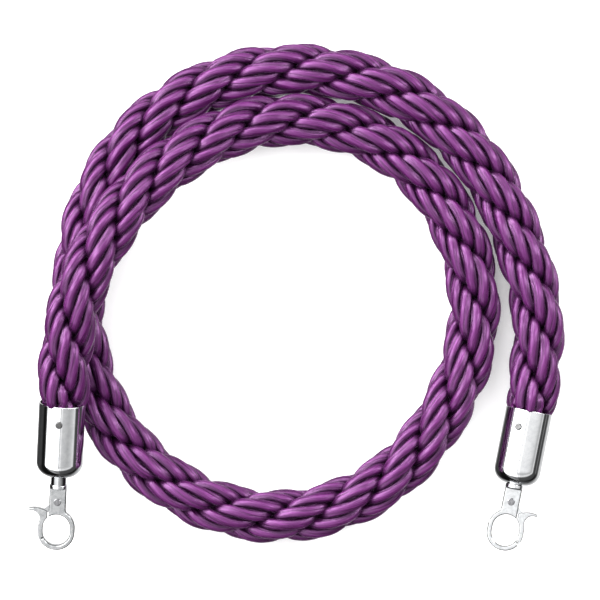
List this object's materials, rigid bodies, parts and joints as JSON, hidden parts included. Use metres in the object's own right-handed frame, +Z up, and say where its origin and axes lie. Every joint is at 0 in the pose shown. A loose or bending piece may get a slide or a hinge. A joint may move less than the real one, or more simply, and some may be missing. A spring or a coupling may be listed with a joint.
{
  "type": "barrier rope",
  "caption": "Thick laid rope with a chromed cap at each end, each carrying a swivelling snap hook, lying in about one and a half turns.",
  "frame": {"origin": "middle of the object's footprint, on the surface it lies on", "axes": "+Z up from the surface, +X across the coil from the left end to the right end, +Y away from the two hooks"},
  "size_m": [0.329, 0.3107, 0.0666],
  "materials": {
    "rope_yarn": "shiny purple polyester yarn, laid in three strands",
    "rope_core": "the same yarn, pressed together",
    "end_tape": "matte black tape",
    "cap_chrome": "polished chrome plate",
    "collar_chrome": "polished chrome plate",
    "hook_chrome": "polished chrome plate on a casting",
    "gate_chrome": "polished chrome plate on a casting",
    "rivet_chrome": "chrome plate, slightly dull",
    "screw_chrome": "chrome plate, slightly dull",
    "nut_steel": "plain turned steel",
    "washer_brass": "plain brass",
    "spring_steel": "drawn spring wire"
  },
  "bodies": {
    "rope": {"rope": "rope_yarn", "left_cap": "cap_chrome", "left_cap_screw": "screw_chrome", "left_rope_end": "rope_core", "left_end_tape": "end_tape", "left_swivel_washer": "washer_brass", "right_cap": "cap_chrome", "right_cap_screw": "screw_chrome", "right_rope_end": "rope_core", "right_end_tape": "end_tape", "right_swivel_washer": "washer_brass"},
    "left_hook": {"left_swivel_nut": "nut_steel", "left_collar": "collar_chrome", "left_hook_body": "hook_chrome", "left_gate_rivet": "rivet_chrome", "left_gate_spring": "spring_steel"},
    "left_gate": {"left_gate": "gate_chrome"},
    "right_hook": {"right_swivel_nut": "nut_steel", "right_collar": "collar_chrome", "right_hook_body": "hook_chrome", "right_gate_rivet": "rivet_chrome", "right_gate_spring": "spring_steel"},
    "right_gate": {"right_gate": "gate_chrome"}
  },
  "joints": [
    {"name": "left_swivel", "type": "hinge", "parent": "rope", "child": "left_hook", "pos_m": [-0.14498, -0.10819, 0.02918], "axis": [-0.0561, -0.9758, -0.2112], "continuous": true},
    {"name": "left_gate_open", "type": "hinge", "parent": "left_hook", "child": "left_gate", "pos_m": [-0.14589, -0.124, 0.02576], "axis": [0.0121, 0.2109, -0.9774], "range_deg": [0, 35], "stiffness_Nm_per_rad": 0.03, "springref_deg": -20.05, "deforming": ["left_gate_spring"]},
    {"name": "right_swivel", "type": "hinge", "parent": "rope", "child": "right_hook", "pos_m": [0.13457, -0.11363, 0.015], "axis": [-0.194, -0.981, 0], "continuous": true},
    {"name": "right_gate_open", "type": "hinge", "parent": "right_hook", "child": "right_gate", "pos_m": [0.1324, -0.12461, 0.015], "axis": [0, 0, 1], "range_deg": [0, 35], "stiffness_Nm_per_rad": 0.03, "springref_deg": -20.05, "deforming": ["right_gate_spring"]}
  ]
}
